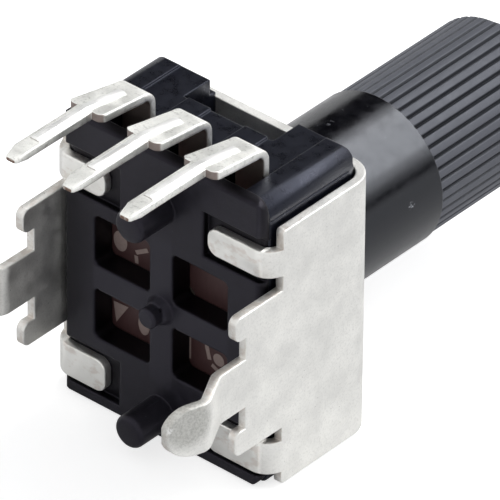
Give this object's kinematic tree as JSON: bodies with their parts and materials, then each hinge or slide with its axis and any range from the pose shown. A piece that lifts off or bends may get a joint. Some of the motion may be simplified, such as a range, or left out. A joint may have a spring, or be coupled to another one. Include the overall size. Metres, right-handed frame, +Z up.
{
  "type": "rotary potentiometer",
  "caption": "Small rotary potentiometer: serrated plastic shaft, black body in a folded snap-in bracket, terminals bent to the rear.",
  "frame": {"origin": "point where the shaft axis meets the front face of the bracket", "axes": "+Y along the shaft, towards the knob end; +Z towards the terminals; +X to the right when the object is seen from the terminals' rear side with +Z up"},
  "size_m": [0.0112, 0.0235, 0.0129],
  "materials": {
    "bracket": "satin, tinned",
    "housing": "fine matte",
    "cover": "fine matte",
    "substrate": "phenolic laminate, satin",
    "carbon_film": "matte",
    "silver_film": "matte",
    "terminal": "bright, tinned",
    "rivet": "satin",
    "shaft": "moulded, glossy",
    "rotor": "satin",
    "wiper": "spring sheet, bright"
  },
  "bodies": {
    "case": {"bracket": "bracket", "housing": "housing", "rear_cover": "cover", "substrate": "substrate", "resistive_track": "carbon_film", "collector_track": "silver_film", "electrode_left": "silver_film", "electrode_right": "silver_film", "terminal_left": "terminal", "terminal_centre": "terminal", "terminal_right": "terminal", "rivet_left": "rivet", "rivet_centre": "rivet", "rivet_right": "rivet"},
    "spindle": {"shaft": "shaft", "rotor": "rotor", "wiper": "wiper"}
  },
  "joints": [
    {"name": "shaft_turn", "type": "hinge", "parent": "case", "child": "spindle", "pos_m": [0, 0, 0], "axis": [0, 1, 0], "range_deg": [-140, 140]}
  ]
}
